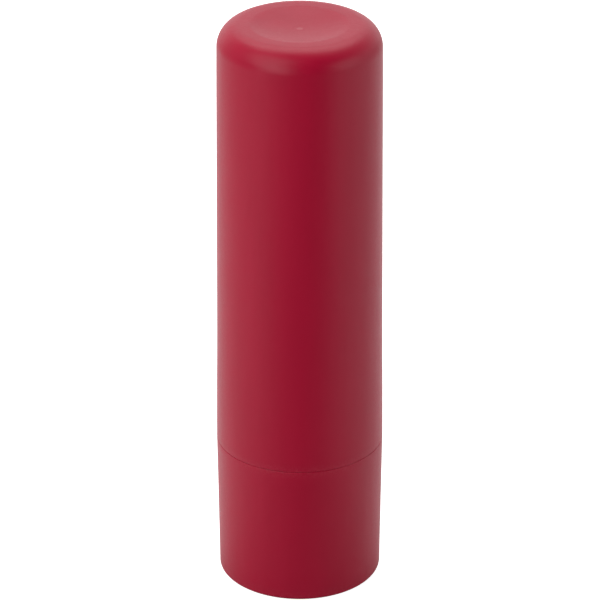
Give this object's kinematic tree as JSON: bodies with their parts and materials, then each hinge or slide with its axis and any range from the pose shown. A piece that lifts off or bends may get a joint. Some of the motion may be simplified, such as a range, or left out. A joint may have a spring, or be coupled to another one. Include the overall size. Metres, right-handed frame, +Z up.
{
  "type": "lip balm stick",
  "caption": "Slim round twist-up lip balm stick: a turning base drives a screw that lifts the wax out of its tube, under a long pull-off cap with a dished end.",
  "frame": {"origin": "centre of the standing face, on the stick's axis", "axes": "+Z up the axis, from the base to the cap's dished end; +X and +Y each lie on one of the guide ribs' planes"},
  "size_m": [0.0192, 0.0192, 0.068],
  "materials": {
    "red_plastic": "satin",
    "white_plastic": "satin",
    "wax": "soft waxy"
  },
  "bodies": {
    "base": {"base": "red_plastic", "spindle": "white_plastic"},
    "barrel": {"barrel": "white_plastic"},
    "carrier": {"carrier": "white_plastic", "balm": "wax"},
    "cap": {"cap": "red_plastic"}
  },
  "joints": [
    {"name": "barrel_turn", "type": "hinge", "parent": "base", "child": "barrel", "pos_m": [0, 0, 0], "axis": [0, 0, 1], "range_deg": [0, 1800]},
    {"name": "carrier_slide", "type": "slide", "parent": "barrel", "child": "carrier", "axis": [0, 0, 1], "range_m": [0, 0.038]},
    {"name": "cap_lift", "type": "slide", "parent": "carrier", "child": "cap", "axis": [0, 0, 1], "range_m": [0, 0.055]}
  ],
  "couplings": [
    {"joint": "carrier_slide", "follows": "barrel_turn", "m_per_rad": 0.0012096}
  ]
}
